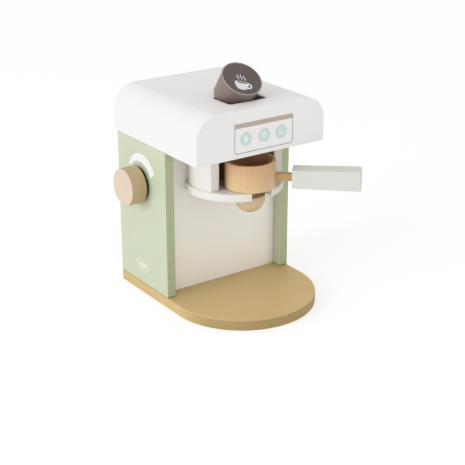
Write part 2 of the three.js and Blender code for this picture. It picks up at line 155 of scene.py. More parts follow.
def joined(shape, rings):
    """Faces from each ring of points to the next one."""
    for lower, upper in zip(rings, rings[1:]):
        for index in range(len(lower)):
            after = (index + 1) % len(lower)
            corners = [lower[index], lower[after], upper[after], upper[index]]
            shape.faces.new(list(dict.fromkeys(corners)))


def slab(name, outline, levels, axis="Z"):
    """A solid with this outline at each (height, inset) level. Heights run along the axis."""
    shape = bmesh.new()
    order = {"X": (2, 0, 1), "Y": (0, 2, 1), "Z": (0, 1, 2)}[axis]
    rings = []
    for height, amount in levels:
        points = inset(outline, amount) if amount else outline
        places = [(across, up, height) for across, up in points]
        rings.append([shape.verts.new([place[index] for index in order]) for place in places])
    shape.faces.new(rings[0])
    shape.faces.new(rings[-1])
    joined(shape, rings)
    return from_bmesh(name, shape)


def turned(name, profile, place=Matrix(), steps=TURN_STEPS):
    """A solid of revolution about Z from (radius, height) points, put in place. A profile that
    starts off the axis closes on itself."""
    shape = bmesh.new()
    turns = [tau * step / steps for step in range(steps)]
    rings = []
    for radius, height in profile:
        if radius == 0:
            rings.append([shape.verts.new((0, 0, height))] * steps)
        else:
            circle = [(radius * cos(turn), radius * sin(turn), height) for turn in turns]
            rings.append([shape.verts.new(point) for point in circle])
    joined(shape, rings + rings[:1] if profile[0][0] > 0 else rings)
    shape.transform(place)
    return from_bmesh(name, shape)


def rounded_profile(points, radius):
    """A turned piece's profile with its corners rounded. Its first and last points stay."""
    most = 0.45  # of a side goes into the rounding at each of its ends
    result = [points[0]]
    for before, here, after in zip(points, points[1:], points[2:]):
        here = Vector(here)
        back = Vector(before) - here
        ahead = Vector(after) - here
        between = back.angle(ahead)
        reach = min(radius / tan(between / 2), most * back.length, most * ahead.length)
        start = here + back.normalized() * reach
        end = here + ahead.normalized() * reach
        for step in range(STEPS + 1):
            share = step / STEPS
            point = start.lerp(here, share).lerp(here.lerp(end, share), share)
            result.append((point.x, point.y))
    result.append(points[-1])
    return result


def closed_profile(corners, radius):
    """A ring's profile, off the axis, with every corner rounded."""
    return rounded_profile([corners[-1], *corners, corners[0]], radius)[1:-1]


def apply_modifiers(piece):
    """Makes the piece's modifiers part of its mesh."""
    graph = bpy.context.evaluated_depsgraph_get()
    mesh = bpy.data.meshes.new_from_object(piece.evaluated_get(graph), depsgraph=graph)
    old = piece.data
    piece.modifiers.clear()
    piece.data = mesh
    bpy.data.meshes.remove(old)
    mesh.name = piece.name


def carve(piece, *cutters):
    """Takes each cutter's space out of the piece, and removes the cutters."""
    for cutter in cutters:
        modifier = piece.modifiers.new("carve", "BOOLEAN")
        modifier.operation = "DIFFERENCE"
        modifier.solver = "EXACT"
        modifier.object = cutter
    apply_modifiers(piece)
    for cutter in cutters:
        mesh = cutter.data
        bpy.data.objects.remove(cutter)
        bpy.data.meshes.remove(mesh)


def mark_edges(mesh):
    """Writes a float attribute, worn, that is 1 along the middle of each small rounded edge."""
    shape = bmesh.new()
    shape.from_mesh(mesh)
    layer = shape.verts.layers.float.new("worn")
    gentle, full, sharp = (radians(angle) for angle in (13, 20, 60))
    for vertex in shape.verts:
        bends = [edge.calc_face_angle(0) for edge in vertex.link_edges if len(edge.link_faces) == 2]
        bend = max(bends, default=0)
        vertex[layer] = 0 if bend > sharp else min(max((bend - gentle) / (full - gentle), 0), 1)
    shape.to_mesh(mesh)
    shape.free()


def mark(mesh, name, share):
    """Writes a float attribute: how much of a finish each vertex takes."""
    layer = mesh.attributes.new(name, "FLOAT", "POINT")
    for vertex, value in zip(mesh.vertices, layer.data):
        value.value = min(max(share(vertex), 0), 1)


def sideways(vertex, axis):
    """1 on the sides that run along the axis, 0 on the faces square to it, and between on edges."""
    full, none = 0.3, 0.9  # how far the normal leans along the axis
    return min(max((none - abs(vertex.normal[axis])) / (none - full), 0), 1)


def dress(piece, body, material, slot, *nodes):
    """Shades the piece, gives it its material, ties it to its body and hides the nodes it stands for. The
    slot is not used.
    """
    mesh = piece.data
    mesh.materials.clear()
    mesh.materials.append(material)
    mark_edges(mesh)
    mesh.shade_smooth()
    mesh.set_sharp_from_angle(angle=SMOOTH_BELOW)
    modifier = piece.modifiers.new("flat faces lead", "WEIGHTED_NORMAL")
    modifier.keep_sharp = True
    apply_modifiers(piece)
    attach(piece, body)
    if nodes:
        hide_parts(*nodes)


# Node trees, whose values are written as expressions

class Value:
    """A socket that adds a Math node for each operation on it."""

    def __init__(self, nodes, socket):
        self.nodes = nodes
        self.socket = socket

    def math(self, operation, *others):
        return self.nodes.node("ShaderNodeMath", dict(enumerate((self, *others))), operation=operation)

    def __add__(self, other):
        return self.math("ADD", other)

    __radd__ = __add__

    def __mul__(self, other):
        return self.math("MULTIPLY", other)

    __rmul__ = __mul__

    def __sub__(self, other):
        return self.math("SUBTRACT", other)

    def __rsub__(self, other):
        return (self * -1) + other

    def __truediv__(self, other):
        return self.math("DIVIDE", other)

    def clamped(self):
        return self.math("MINIMUM", 1.0).math("MAXIMUM", 0.0)

    def step(self, low, high):
        """0 at low and 1 at high, smoothly."""
        inputs = {"Value": self, "From Min": low, "From Max": high}
        return self.nodes.node("ShaderNodeMapRange", inputs, interpolation_type="SMOOTHSTEP")


class Nodes:
    """A node tree in the making."""

    def __init__(self, tree):
        self.tree = tree

    def feed(self, socket, value):
        """Links a Value, or each Value of a list, to the socket, or else sets it."""
        for each in value if isinstance(value, list) else [value]:
            if isinstance(each, Value):
                self.tree.links.new(each.socket, socket)
            else:
                socket.default_value = each

    def node(self, kind, inputs=None, output=0, **settings):
        """One output of a new node."""
        made = self.tree.nodes.new(kind)
        for name, value in settings.items():
            setattr(made, name, value)
        for name, value in (inputs or {}).items():
            self.feed(made.inputs[name], value)
        return Value(self, made.outputs[output])

    def mix(self, share, first, second):
        """A colour between two colours."""
        return self.node("ShaderNodeMix", {0: share, 6: first, 7: second}, 2, data_type="RGBA")

    def bright_to_camera(self, lit, shown):
        """A grey that the camera alone sees brighter than it is."""
        seen = self.node("ShaderNodeLightPath", output="Is Camera Ray")
        return self.mix(seen, (lit, lit, lit, 1.0), (shown, shown, shown, 1.0))


class Finish(Nodes):
    """A material in the making, with its surface shader."""

    def __init__(self, name):
        self.material = bpy.data.materials.new(name)
        self.material.use_nodes = True
        super().__init__(self.material.node_tree)
        self.tree.nodes.clear()
        self.shader = self.tree.nodes.new("ShaderNodeBsdfPrincipled")
        output = self.tree.nodes.new("ShaderNodeOutputMaterial")
        self.tree.links.new(self.shader.outputs[0], output.inputs["Surface"])

    def object_place(self, place=Matrix()):
        """Coordinates in millimetres, in the frame that place gives."""
        into = place.inverted()
        at_rest = self.node("ShaderNodeTexCoord", output="Object")
        turn = {"Vector": at_rest, "Location": into.to_translation(), "Rotation": into.to_euler()}
        return self.scaled(self.node("ShaderNodeMapping", turn), 1 / MM)

    def along(self, vector, axis):
        return self.node("ShaderNodeSeparateXYZ", {"Vector": vector}, axis)

    def scaled(self, vector, factors):
        """The vector times three factors, or times one."""
        if not isinstance(factors, tuple):
            factors = (factors,) * 3
        return self.node("ShaderNodeVectorMath", {0: vector, 1: factors}, operation="MULTIPLY")

    def noise(self, vector, factors, detail=2.0, roughness=0.5):
        """Noise whose grains are about one over each factor across, in millimetres."""
        place = self.scaled(vector, factors)
        inputs = {"Vector": place, "Scale": 1.0, "Detail": detail, "Roughness": roughness}
        return self.node("ShaderNodeTexNoise", inputs, "Fac")

    def attribute(self, name):
        return self.node("ShaderNodeAttribute", output="Fac", attribute_name=name)

    def set(self, **inputs):
        for name, value in inputs.items():
            self.feed(self.shader.inputs[name.replace("_", " ")], value)

    def bump(self, height, distance):
        self.set(Normal=self.node("ShaderNodeBump", {"Height": height, "Distance": distance}))


def colour(red, green, blue):
    """A linear colour from its eight-bit display values."""
    def linear(value):
        share = value / 255
        return share / 12.92 if share <= 0.04045 else ((share + 0.055) / 1.055) ** 2.4
    return (linear(red), linear(green), linear(blue), 1.0)


def shade(base, factor):
    return (*[min(channel * factor, 1.0) for channel in base[:3]], 1.0)


# Finishes, whose bare numbers are shares and thresholds of their noises, which were matched

def paint(name, base, roughness=0.42, foot=None, cut=None):
    """Sprayed satin paint on board: slow tone changes, fine orange peel, dull patches and worn edges.
    Shade is painted along the foot, at this height in millimetres, so the board is darker where it stands
    on the base. Where its attribute for cut edges and painted shade says so, the paint has that colour: the
    tone of cut edges on some boards and painted shade on others."""
    finish = Finish(name)
    place = finish.object_place()
    cloud = finish.noise(place, 1 / 60, 2.0)
    patch = finish.noise(place, 1 / 9, 3.0)
    peel = finish.noise(place, 1 / 1.1, 1.0)
    fibre = finish.noise(place, 2.6, 1.0)
    worn = finish.attribute("worn") * finish.noise(place, 1 / 3, 3.0).step(0.42, 0.62)
    tone = finish.mix((cloud * 0.8 + patch * 0.2).step(0.3, 0.7), shade(base, 0.985), shade(base, 1.01))
    # the cut colour: a darker tone on the side boards' cut edges, and painted shade on the head's slot
    # walls, in the collar's bore and at the base's front
    if cut is not None:
        tone = finish.mix(finish.attribute("cut"), tone, cut)
    if foot is not None:
        # painted shade: darker along the board's foot, in the crease where it stands on the base
        foot_shade = 1 - (finish.along(place, "Z") + (patch - 0.5) * 0.6).step(foot + 0.4, foot + 1.6)
        tone = finish.mix(foot_shade * 0.85, tone, shade(base, 0.3))
        worn = worn * (1 - foot_shade)
    finish.set(Base_Color=finish.mix(worn * 0.25, tone, shade(base, 1.12)))
    finish.set(Roughness=(patch - 0.5) * 0.16 + (peel - 0.5) * 0.08 + worn * 0.1 + roughness)
    finish.bump(peel * 0.8 + fibre * 0.2, 0.012 * MM)
    return finish.material


def wood(name, light, dark, place, roughness=0.5, ring_width=3.2, pith=(16.0, 9.0), contrast=1.0,
         painted_shade_tone=None):
    """Varnished close-grained wood. Its fibres run along Z of the frame that place gives, and its pith lies
    this far off, in millimetres. Where its attribute for painted shade says so, it takes the darker colour
    given for painted shade."""
    finish = Finish(name)
    here = finish.object_place(place)
    across, up = (finish.along(here, axis) + offset for axis, offset in zip("XY", pith))
    waver = finish.noise(here, (1 / 14, 1 / 14, 1 / 60), 2.0) * 5.0
    distance = (across * across + up * up).math("SQRT") + waver
    ring = (distance / ring_width).math("FRACT").step(0.15, 1.0)
    streak = finish.noise(here, (1.5, 1.5, 1 / 11), 3.0, 0.6)
    broad = finish.noise(here, (1 / 6, 1 / 6, 1 / 50), 2.0)
    fleck = finish.noise(here, (3.2, 3.2, 0.42), 1.0).step(0.62, 0.72)
    worn = finish.attribute("worn")
    share = ((ring * 0.22 + streak * 0.55 + broad * 0.55) - 0.66) * contrast + 0.5
    grain = finish.mix(share.clamped(), light, dark)
    flecked = finish.mix(fleck * 0.3, grain, shade(dark, 0.8))
    bare = finish.mix(worn * 0.18, flecked, shade(light, 1.1))
    # painted shade: a darker colour where the mesh marks it
    if painted_shade_tone is not None:
        bare = finish.mix(finish.attribute("stain") * 0.9, bare, painted_shade_tone)
    finish.set(Base_Color=bare)
    finish.set(Roughness=(streak - 0.5) * 0.22 + fleck * 0.12 + roughness)
    finish.bump(streak * 0.6 - fleck * 0.6 + ring * 0.2, 0.045 * MM)
    return finish.material


def mottled(name, dark, light, fineness, roughness, spread, depth, even=None, **others):
    """A plain finish with a fine mottle, which varies its colour, its roughness by this spread, and
    its height by this depth in millimetres."""
    finish = Finish(name)
    mottle = finish.noise(finish.object_place(), fineness, 3.0)
    tone = mottle.step(*even) if even else mottle
    finish.set(Base_Color=finish.mix(tone, dark, light), **others)
    finish.set(Roughness=(mottle - 0.5) * spread + roughness)
    finish.bump(mottle, depth * MM)
    return finish.material


def ink(name, base, roughness=0.5):
    """A screen print: even colour with a slight mottle."""
    return mottled(name, shade(base, 0.975), shade(base, 1.02), 1.1, roughness, 0.12, 0.02, (0.3, 0.75))


# Places from the frame

base_low, base_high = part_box("base_plate")
left_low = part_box("left_side_panel")[0]
panel_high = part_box("front_panel")[1]
plate_low, plate_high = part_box("head_front_plate")
floor_low, floor_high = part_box("head_floor")
shell_low, shell_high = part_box("head_top_shell")
tray_low, tray_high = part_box("brew_tray")
collar_low, collar_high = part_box("brew_collar")
cup_low, cup_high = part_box("filter_cup")
neck_low, neck_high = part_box("spout_neck")
ball_low, ball_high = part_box("spout_ball")
rod_low, rod_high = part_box("handle_rod")
grip_low, grip_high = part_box("handle_grip")
knob_low, knob_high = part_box("knob_disc")
washer_low, washer_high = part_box("knob_washer")
axle_low, axle_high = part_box("knob_axle")
pocket_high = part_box("pocket_front_wall")[1]
pocket_end_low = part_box("pocket_back_wall")[0]
side_wall_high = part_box("pocket_left_wall")[1]
screw_low, screw_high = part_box("front_left_base_screw")
collar_screw_low, collar_screw_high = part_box("left_collar_screw")

along_x = Matrix.Rotation(pi / 2, 4, "Y")  # turns Z to run along X
along_y = Matrix.Rotation(pi / 2, 4, "X")

HALF_WIDTH = base_high.x
HEAD_CORNER = 24.0 * MM
SHELL_WALL = shell_high.z - pocket_high.z
GLUE_GAP = 0.3 * MM  # all round each peg, screw, rod and lid in its hole
axle_middle = (axle_low + axle_high) / 2
axle_hole = (axle_high.y - axle_low.y) / 2 + GLUE_GAP
neck_radius = (neck_high.x - neck_low.x) / 2


# Materials

# its cut colour is painted shade on the walls of the head's slot
white_paint = paint("white_paint", colour(240, 239, 236), cut=colour(136, 131, 126))
# the tray and collar take the head's warm white a little darker, painted shade under the head
shaded_tray_paint = paint("shaded_tray_paint", colour(224, 221, 213), cut=colour(165, 128, 104))
panel_paint = paint("panel_paint", colour(246, 243, 237), 0.45)
sage_cut = colour(174, 183, 145)
sage_paint = paint("sage_paint", colour(186, 193, 167), 0.4, foot=base_high.z / MM, cut=sage_cut)
# its cut colour is the edge tone on the long sides and painted shade at the round front
mustard_paint = paint("mustard_paint", colour(209, 181, 123), cut=colour(170, 145, 93))
grey_paint = paint("grey_paint", colour(211, 211, 202))
capsule_paint = paint("capsule_paint", colour(126, 109, 101), 0.38)
band_ink = ink("band_ink", colour(187, 172, 158))
field_ink = ink("field_ink", colour(243, 241, 239))
line_ink = ink("line_ink", colour(178, 168, 163))
disc_ink = ink("disc_ink", colour(203, 219, 217))
glyph_ink = ink("glyph_ink", colour(232, 241, 238))
scale_ink = ink("scale_ink", colour(242, 243, 240))
mark_ink = ink("mark_ink", colour(222, 226, 210))
lid_ink = ink("lid_ink", colour(95, 81, 78), 0.4)
figure_ink = ink("figure_ink", colour(225, 224, 226))
# painted highlight: the lighter ink of the ring on the capsule's rim
rim_highlight_ink = ink("rim_highlight_ink", colour(160, 149, 144))
rubber = colour(50, 45, 28)
washer_rubber = mottled("washer_rubber", shade(rubber, 0.8), shade(rubber, 1.3), 2.2, 0.8, 0.2, 0.08)
zinc = colour(178, 180, 184), colour(214, 214, 212)
screw_steel = mottled("screw_steel", *zinc, 0.9, 0.36, 0.3, 0.01, Metallic=1.0)

BEECH_LIGHT = colour(226, 199, 154)
BEECH_DARK = colour(203, 169, 121)
BIRCH_LIGHT = colour(230, 212, 180)
BIRCH_DARK = colour(206, 178, 138)
# the pocket's walls: birch darkened to grey, painted shade inside the slot
POCKET_SHADE_LIGHT = colour(104, 98, 92)
POCKET_SHADE_DARK = colour(80, 75, 70)


# Screws, one tree for both lengths

SCREW_HEAD = (screw_high.x - screw_low.x) / 2
SCREW_SHANK = 1.9 * MM
SCREW_RIM = 0.4 * MM
SCREW_CONE = 2.2 * MM
SCREW_RECESS = screw_low.z
SCREW_SIZES = {
    "Head Radius": SCREW_HEAD, "Rim": SCREW_RIM, "Cone": SCREW_CONE, "Shank Radius": SCREW_SHANK,
    "Point": 4.0 * MM, "Tip Radius": 0.2 * MM, "Cross Width": 1.1 * MM, "Cross Depth": 3.4 * MM,
}


def at_corners(kind):
    """The names of the four nodes of a kind."""
    return [f"{end}_{side}_{kind}" for end in ("front", "rear") for side in ("left", "right")]


def middle_of(node):
    low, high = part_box(node)
    return (low + high) / 2


BASE_SCREWS = at_corners("base_screw")
COLLAR_SCREWS = ["left_collar_screw", "right_collar_screw"]
base_screw_places = [middle_of(node).xy for node in BASE_SCREWS]
collar_screw_places = [middle_of(node).x for node in COLLAR_SCREWS]


def collar_screw_frame(x):
    """Z goes from the front panel's back face into the collar."""
    height = (collar_screw_low.z + collar_screw_high.z) / 2
    return Matrix.Translation((x, panel_high.y, height)) @ along_y


def screw_tree():
    """A countersunk screw with a cross recess on each point, its head at the point, its tip above.
    Returns the tree and the identifiers of its inputs."""
    group = bpy.data.node_groups.new("countersunk_screws", "GeometryNodeTree")
    group.interface.new_socket("Geometry", in_out="OUTPUT", socket_type="NodeSocketGeometry")
    inputs = {"Places": "Geometry", **dict.fromkeys([*SCREW_SIZES, "Length"], "Float"), "Steel": "Material"}
    identifiers = {}
    for label, kind in inputs.items():
        socket = group.interface.new_socket(label, in_out="INPUT", socket_type="NodeSocket" + kind)
        identifiers[label] = socket.identifier
    tree = Nodes(group)
    given = group.nodes.new("NodeGroupInput").outputs
    values = [Value(tree, given[label]) for label in inputs]
    places, head, rim, cone, shank, point, tip, width, depth, length, metal = values

    def taper(foot, top, tall, height):
        """A round bar from this height up, with these radii at its ends."""
        sizes = {"Vertices": SCREW_STEPS, "Radius Top": top, "Radius Bottom": foot, "Depth": tall}
        bar = tree.node("GeometryNodeMeshCone", sizes)
        offset = tree.node("ShaderNodeCombineXYZ", {"Z": height})
        return tree.node("GeometryNodeTransform", {"Geometry": bar, "Translation": offset})

    straight = length - point
    solids = [
        taper(head, head, rim, 0.0),
        taper(head, shank, cone, rim),
        taper(shank, shank, straight, 0.0),
        taper(shank, tip, point, straight),
    ]
    whole = tree.node("GeometryNodeMeshBoolean", {"Mesh 2": solids}, operation="UNION")
    bar_size = tree.node("ShaderNodeCombineXYZ", {"X": head, "Y": width, "Z": depth})
    bar = tree.node("GeometryNodeMeshCube", {"Size": bar_size})
    crossed = tree.node("GeometryNodeTransform", {"Geometry": bar, "Rotation": (0, 0, pi / 2)})
    cuts = {"Mesh 1": whole, "Mesh 2": [bar, crossed]}
    screw = tree.node("GeometryNodeMeshBoolean", cuts, operation="DIFFERENCE")
    placed = tree.node("GeometryNodeInstanceOnPoints", {"Points": places, "Instance": screw})
    real = tree.node("GeometryNodeRealizeInstances", {"Geometry": placed})
    finished = tree.node("GeometryNodeSetMaterial", {"Geometry": real, "Material": metal})
    tree.feed(group.nodes.new("NodeGroupOutput").inputs["Geometry"], finished)
    return group, identifiers


def screws(tree, name, points, length, place, nodes):
    group, identifiers = tree
    mesh = bpy.data.meshes.new(name)
    mesh.from_pydata(points, [], [])
    piece = new_object(name, mesh)
    modifier = piece.modifiers.new("screws", "NODES")
    modifier.node_group = group
    for label, value in {**SCREW_SIZES, "Length": length, "Steel": screw_steel}.items():
        modifier[identifiers[label]] = value
    apply_modifiers(piece)
    piece.data.transform(place)
    dress(piece, "machine", screw_steel, "zinc_steel", *nodes)


def all_screws():
    tree = screw_tree()
    base = [(x, y, SCREW_RECESS) for x, y in base_screw_places]
    screws(tree, "base_screws", base, screw_high.z - screw_low.z, Matrix(), BASE_SCREWS)
    collar = [(x, 0, SCREW_RECESS) for x in collar_screw_places]
    length = collar_screw_high.y - collar_screw_low.y
    screws(tree, "collar_screws", collar, length, collar_screw_frame(0), COLLAR_SCREWS)


# Boards

LONG_SIDE_SHARE = 0.3  # how far the base's long sides go towards its cut colour
FRONT_SHADE_RISE = 1.5  # how fast that grows where a side turns to face the front, as painted shade there


def countersink(place, depth):
    """A screw's hole from a board's face: a cone, as wide as the screw's head, and a straight part."""
    head = SCREW_HEAD + GLUE_GAP
    shank = SCREW_SHANK + GLUE_GAP
    rim = SCREW_RECESS + SCREW_RIM
    low, neck, high = -OVERRUN, rim + SCREW_CONE, depth + OVERRUN
    profile = [(0, low), (head, low), (head, rim), (shank, neck), (shank, high), (0, high)]
    return turned("hole", profile, place, SCREW_HOLE_STEPS)


def base_board():
    centre = (0, base_low.y + HALF_WIDTH)
    front = arc(centre, HALF_WIDTH, 180, 360, 2 * ARC_STEPS)
    outline = softened([*front, (HALF_WIDTH, base_high.y), (-HALF_WIDTH, base_high.y)], BASE_CORNER)
    board = slab("base_board", outline, rounding(base_low.z, base_high.z, BOARD_EDGE, BOARD_EDGE))
    depth = base_high.z - base_low.z
    carve(board, *[countersink(Matrix.Translation((x, y, 0)), depth) for x, y in base_screw_places])

    def edge_tone_and_front_shade(vertex):
        """The sides are darker than the top, and the round front is the darkest: painted shade at the
        front.
        """
        return sideways(vertex, 2) * min(LONG_SIDE_SHARE + FRONT_SHADE_RISE * abs(vertex.normal.y), 1)

    mark(board.data, "cut", edge_tone_and_front_shade)
    dress(board, "machine", mustard_paint, "mustard_paint", "base_plate")


def side_board(name, node):
    low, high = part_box(node)
    outline = softened(rectangle(low.y, high.y, low.z, high.z), BOARD_EDGE * OPEN_SHARE)
    board = slab(name, outline, rounding(low.x, high.x, BOARD_EDGE, BOARD_EDGE), "X")
    if node == "left_side_panel":
        place = Matrix.Translation((low.x - OVERRUN, axle_middle.y, axle_middle.z)) @ along_x
        length = high.x - low.x + 2 * OVERRUN
        carve(board, turned("hole", rectangle(0, axle_hole, 0, length), place, AXLE_HOLE_STEPS))
    mark(board.data, "cut", lambda vertex: sideways(vertex, 0))
    dress(board, "machine", sage_paint, "sage_paint", node)


def inner_board(name, node):
    low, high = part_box(node)
    outline = softened(rectangle(low.x, high.x, low.z, high.z), FINE_EDGE)
    board = slab(name, outline, rounding(low.y, high.y, FINE_EDGE, FINE_EDGE), "Y")
    if node == "front_panel":
        depth = high.y - low.y
        carve(board, *[countersink(collar_screw_frame(x), depth) for x in collar_screw_places])
    dress(board, "machine", panel_paint, "panel_paint", node)


# Head

def arch(top, radius):
    """The head's top corners, from right to left, at this distance from the corners' centres."""
    level = top - HEAD_CORNER
    side = HALF_WIDTH - HEAD_CORNER
    right = arc((side, level), radius, 0, 90)
    left = arc((-side, level), radius, 90, 180)
    return right + left


def head_foot(low):
    """The head's lower corners, rounded, from left to right."""
    whole = softened(rectangle(-HALF_WIDTH, HALF_WIDTH, low, plate_high.z), HEAD_EDGE * OPEN_SHARE)
    return whole[:len(whole) // 2]


def head_plate(name, node, front_edge, back_edge):
    low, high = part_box(node)
    outline = head_foot(plate_low.z) + arch(plate_high.z, HEAD_CORNER)
    board = slab(name, outline, rounding(low.y, high.y, front_edge, back_edge), "Y")
    dress(board, "machine", white_paint, "warm_white_paint", node)


def head_bottom():
    """The floor board, whose long lower edges are rounded like the plates'."""
    outline = [*head_foot(floor_low.z), (HALF_WIDTH, floor_high.z), (-HALF_WIDTH, floor_high.z)]
    board = slab("head_bottom", outline, [(floor_low.y, 0), (floor_high.y, 0)], "Y")
    dress(board, "machine", white_paint, "warm_white_paint", "head_floor")


def slot_cutter():
    """The slot's space, which flares at the top by the rounding of the slot's edges."""
    outline = rectangle(side_wall_high.x, -side_wall_high.x, pocket_high.y, pocket_end_low.y)
    top = shell_high.z
    rounded = rounding(top - SHELL_WALL - OVERRUN, top, 0, SLOT_EDGE)
    levels = [(height, -amount) for height, amount in rounded]
    return slab("slot", softened(outline, SLOT_CORNER), [*levels, (top + OVERRUN, -SLOT_EDGE)])


def head_shell():
    inner = HALF_WIDTH - SHELL_WALL
    outline = [
        (HALF_WIDTH, shell_low.z),
        *arch(shell_high.z, HEAD_CORNER),
        (-HALF_WIDTH, shell_low.z),
        (-inner, shell_low.z),
        *reversed(arch(shell_high.z, HEAD_CORNER - SHELL_WALL)),
        (inner, shell_low.z),
    ]
    shell = slab("head_shell", outline, [(shell_low.y, 0), (shell_high.y, 0)], "Y")
    carve(shell, slot_cutter())

    def slot_wall_shade(vertex):
        """The slot's walls, from just under the shell's top down, which take painted shade."""
        start = 0.3  # of the rounding's height, below the top
        x, y, z = vertex.co
        across = abs(x) < abs(side_wall_high.x) + 2 * SLOT_EDGE
        along = pocket_high.y - 2 * SLOT_EDGE < y < pocket_end_low.y + 2 * SLOT_EDGE
        return (shell_high.z - z) / SLOT_EDGE - start if across and along else 0

    mark(shell.data, "cut", slot_wall_shade)
    dress(shell, "machine", white_paint, "warm_white_paint", "head_top_shell")


# Tray and collar, whose round outsides would touch at the tray's front

TRAY_REACH = 68.7 * MM
TRAY_SLOT = 11.5 * MM
COLLAR_BORE = 33.0 * MM
BORE_REACH = 0.3 * MM  # the bore's painted shade goes this far past its wall
tray_radius = tray_high.x
collar_radius = collar_high.x
tray_front = collar_high.y - TRAY_REACH
cup_centre = ((cup_low.x + cup_high.x) / 2, (cup_low.y + cup_high.y) / 2)
cup_radius = (cup_high.x - cup_low.x) / 2


def from_cup_centre(vertex):
    return (vertex.co.xy - Vector(cup_centre)).length


def angle_at(height, centre, radius):
    """The angle in degrees, from the X axis, at which a circle reaches this height."""
    return degrees(asin((height - centre) / radius))


def tray_board():
    centre = (0, tray_front + tray_radius)
    back = angle_at(tray_high.y, centre[1], tray_radius)
    mouth = degrees(asin(TRAY_SLOT / tray_radius))
    outline = [
        *arc(centre, tray_radius, 180 - back, 270 - mouth),
        *arc((0, cup_centre[1]), TRAY_SLOT, 180, 0, 2 * ARC_STEPS // 3),
        *arc(centre, tray_radius, 270 + mouth, 360 + back),
    ]
    levels = rounding(tray_low.z, tray_high.z, TRAY_EDGE, TRAY_EDGE)
    board = slab("tray_board", softened(outline, TRAY_EDGE * OPEN_SHARE), levels)
    dress(board, "machine", shaded_tray_paint, "warm_white_paint", "brew_tray")


def collar_block():
    centre = (0, tray_front + collar_radius)
    back = angle_at(collar_high.y, centre[1], collar_radius)
    front = angle_at(collar_low.y, centre[1], collar_radius)
    bore = angle_at(collar_low.y, cup_centre[1], COLLAR_BORE)
    outline = [
        *arc(centre, collar_radius, 180 - back, 180 - front),
        *arc((0, cup_centre[1]), COLLAR_BORE, 180 - bore, bore),
        *arc(centre, collar_radius, 360 + front, 360 + back),
    ]
    levels = rounding(collar_low.z, collar_high.z, FINE_EDGE, 0)
    block = slab("collar_block", softened(outline, BOARD_EDGE), levels)
    # painted shade: the collar's bore is a dark brown, through the paint's cut colour
    mark(block.data, "cut", lambda vertex: from_cup_centre(vertex) < COLLAR_BORE + BORE_REACH)
    dress(block, "machine", shaded_tray_paint, "warm_white_paint", "brew_collar")


# Filter holder

grip_centre = (grip_low + grip_high) / 2
handle_turn = atan2(grip_centre.y - cup_centre[1], grip_centre.x - cup_centre[0])
cup_place = Matrix.Translation((*cup_centre, cup_low.z))
handle_place = cup_place @ Matrix.Rotation(handle_turn, 4, "Z")
CUP_WALL = 3.4 * MM
CUP_FLOOR = 6.0 * MM
BOWL_FILLET = 3.0 * MM
ROD_WIDTH = rod_high.z - rod_low.z
ROD_RISE = (rod_low.z + rod_high.z) / 2 - cup_low.z
GRIP_START = 40.9 * MM
GRIP_LENGTH = 67.0 * MM
GRIP_WIDTH = 19.5 * MM
GRIP_NEAR_HEIGHT = 18.4 * MM
GRIP_SEAT = 18.0 * MM
GRIP_SHARES = (0.35, 0.55, 1.0)  # of the rounding, for edges with none, one or both ends at the far end
RIM_PAINTED_SHADE = 0.38
BOWL_REACH = 0.1 * MM  # the bowl's painted shade goes this far past its wall
FILLET_STEPS = 8
BALL_STEPS = 40


def rod_cutter(start, end):
    half = ROD_WIDTH / 2 + GLUE_GAP
    outline = rectangle(-half, half, ROD_RISE - half, ROD_RISE + half)
    cutter = slab("mortise", outline, [(start, 0), (end, 0)], "X")
    cutter.data.transform(handle_place)
    return cutter


def filter_cup():
    bowl = cup_radius - CUP_WALL
    height = cup_high.z - cup_low.z
    neck = neck_radius + GLUE_GAP
    neck_top = neck_high.z - cup_low.z + GLUE_GAP
    corner = (bowl - BOWL_FILLET, CUP_FLOOR + BOWL_FILLET)
    fillet = arc(corner, BOWL_FILLET, 0, -90, FILLET_STEPS)
    corners = [(neck, 0), (cup_radius, 0), (cup_radius, height), (bowl, height), (bowl, height / 2)]
    wall = rounded_profile(corners, CUP_EDGE)[:-1]
    profile = [(0, neck_top), (neck, neck_top), *wall, *fillet, (0, CUP_FLOOR)]
    cup = turned("filter_bowl", profile, cup_place)
    carve(cup, rod_cutter(bowl - BOWL_FILLET, cup_radius + OVERRUN))

    def painted_shade_tone(vertex):
        """Painted shade on all of the bowl's inside, and some on its rim."""
        if vertex.co.z > cup_high.z - MM:
            return RIM_PAINTED_SHADE
        above_floor = vertex.co.z > cup_low.z + CUP_FLOOR - BOWL_REACH
        return above_floor and from_cup_centre(vertex) < bowl + BOWL_REACH

    mark(cup.data, "stain", painted_shade_tone)
    # painted shade in the bowl: a dark reddish brown
    stain = colour(174, 111, 79)
    cup_wood = wood("cup_beech", BEECH_LIGHT, BEECH_DARK, cup_place, contrast=0.65, painted_shade_tone=stain)
    dress(cup, "filter_holder", cup_wood, "beech_wood", "filter_cup")


def handle_bar():
    half = ROD_WIDTH / 2
    start = cup_radius - CUP_WALL + GLUE_GAP
    outline = softened(rectangle(-half, half, ROD_RISE - half, ROD_RISE + half), ROD_EDGE)
    bar = slab("handle_bar", outline, rounding(start, GRIP_START + GRIP_SEAT, FINE_EDGE, FINE_EDGE), "X")
    bar.data.transform(handle_place)
    tones = colour(201, 170, 122), colour(180, 143, 94)
    bar_wood = wood("rod_beech", *tones, handle_place @ along_x, roughness=0.52)
    dress(bar, "filter_holder", bar_wood, "beech_wood", "handle_rod")


